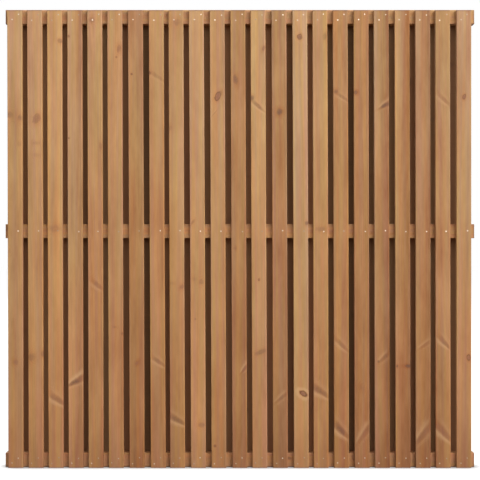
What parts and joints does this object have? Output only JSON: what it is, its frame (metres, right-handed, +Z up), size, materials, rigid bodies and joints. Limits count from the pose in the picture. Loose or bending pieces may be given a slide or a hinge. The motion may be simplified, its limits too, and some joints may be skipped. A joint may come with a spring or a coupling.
{
  "type": "wooden fence panel",
  "caption": "Double-sided slatted timber fence panel: upright boards nailed to both faces of horizontal rails, with the back boards covering the gaps in the front.",
  "frame": {"origin": "on the ground, under the middle of the panel", "axes": "+X along the rails, the front faces -Y, +Z up along the boards"},
  "size_m": [1.8, 0.0818, 1.756],
  "materials": {
    "front_boards": "planed, matt, honey brown",
    "back_boards": "planed, matt, honey brown",
    "rails": "planed, matt, honey brown",
    "nails": "bright galvanised"
  },
  "bodies": {
    "root": {"back_board_01": "back_boards", "back_board_02": "back_boards", "back_board_03": "back_boards", "back_board_04": "back_boards", "back_board_05": "back_boards", "back_board_06": "back_boards", "back_board_07": "back_boards", "back_board_08": "back_boards", "back_board_09": "back_boards", "back_board_10": "back_boards", "back_board_11": "back_boards", "back_board_12": "back_boards", "back_board_13": "back_boards", "back_board_14": "back_boards", "back_board_15": "back_boards", "back_board_16": "back_boards", "back_board_17": "back_boards", "back_board_18": "back_boards", "back_board_19": "back_boards", "back_board_20": "back_boards", "back_board_21": "back_boards", "back_board_22": "back_boards", "back_bottom_nails": "nails", "back_middle_nails": "nails", "back_top_nails": "nails", "bottom_rail": "rails", "front_board_01": "front_boards", "front_board_02": "front_boards", "front_board_03": "front_boards", "front_board_04": "front_boards", "front_board_05": "front_boards", "front_board_06": "front_boards", "front_board_07": "front_boards", "front_board_08": "front_boards", "front_board_09": "front_boards", "front_board_10": "front_boards", "front_board_11": "front_boards", "front_board_12": "front_boards", "front_board_13": "front_boards", "front_board_14": "front_boards", "front_board_15": "front_boards", "front_board_16": "front_boards", "front_board_17": "front_boards", "front_board_18": "front_boards", "front_board_19": "front_boards", "front_board_20": "front_boards", "front_board_21": "front_boards", "front_board_22": "front_boards", "front_board_23": "front_boards", "front_bottom_nails": "nails", "front_middle_nails": "nails", "front_top_nails": "nails", "middle_rail": "rails", "top_rail": "rails"}
  },
  "joints": []
}
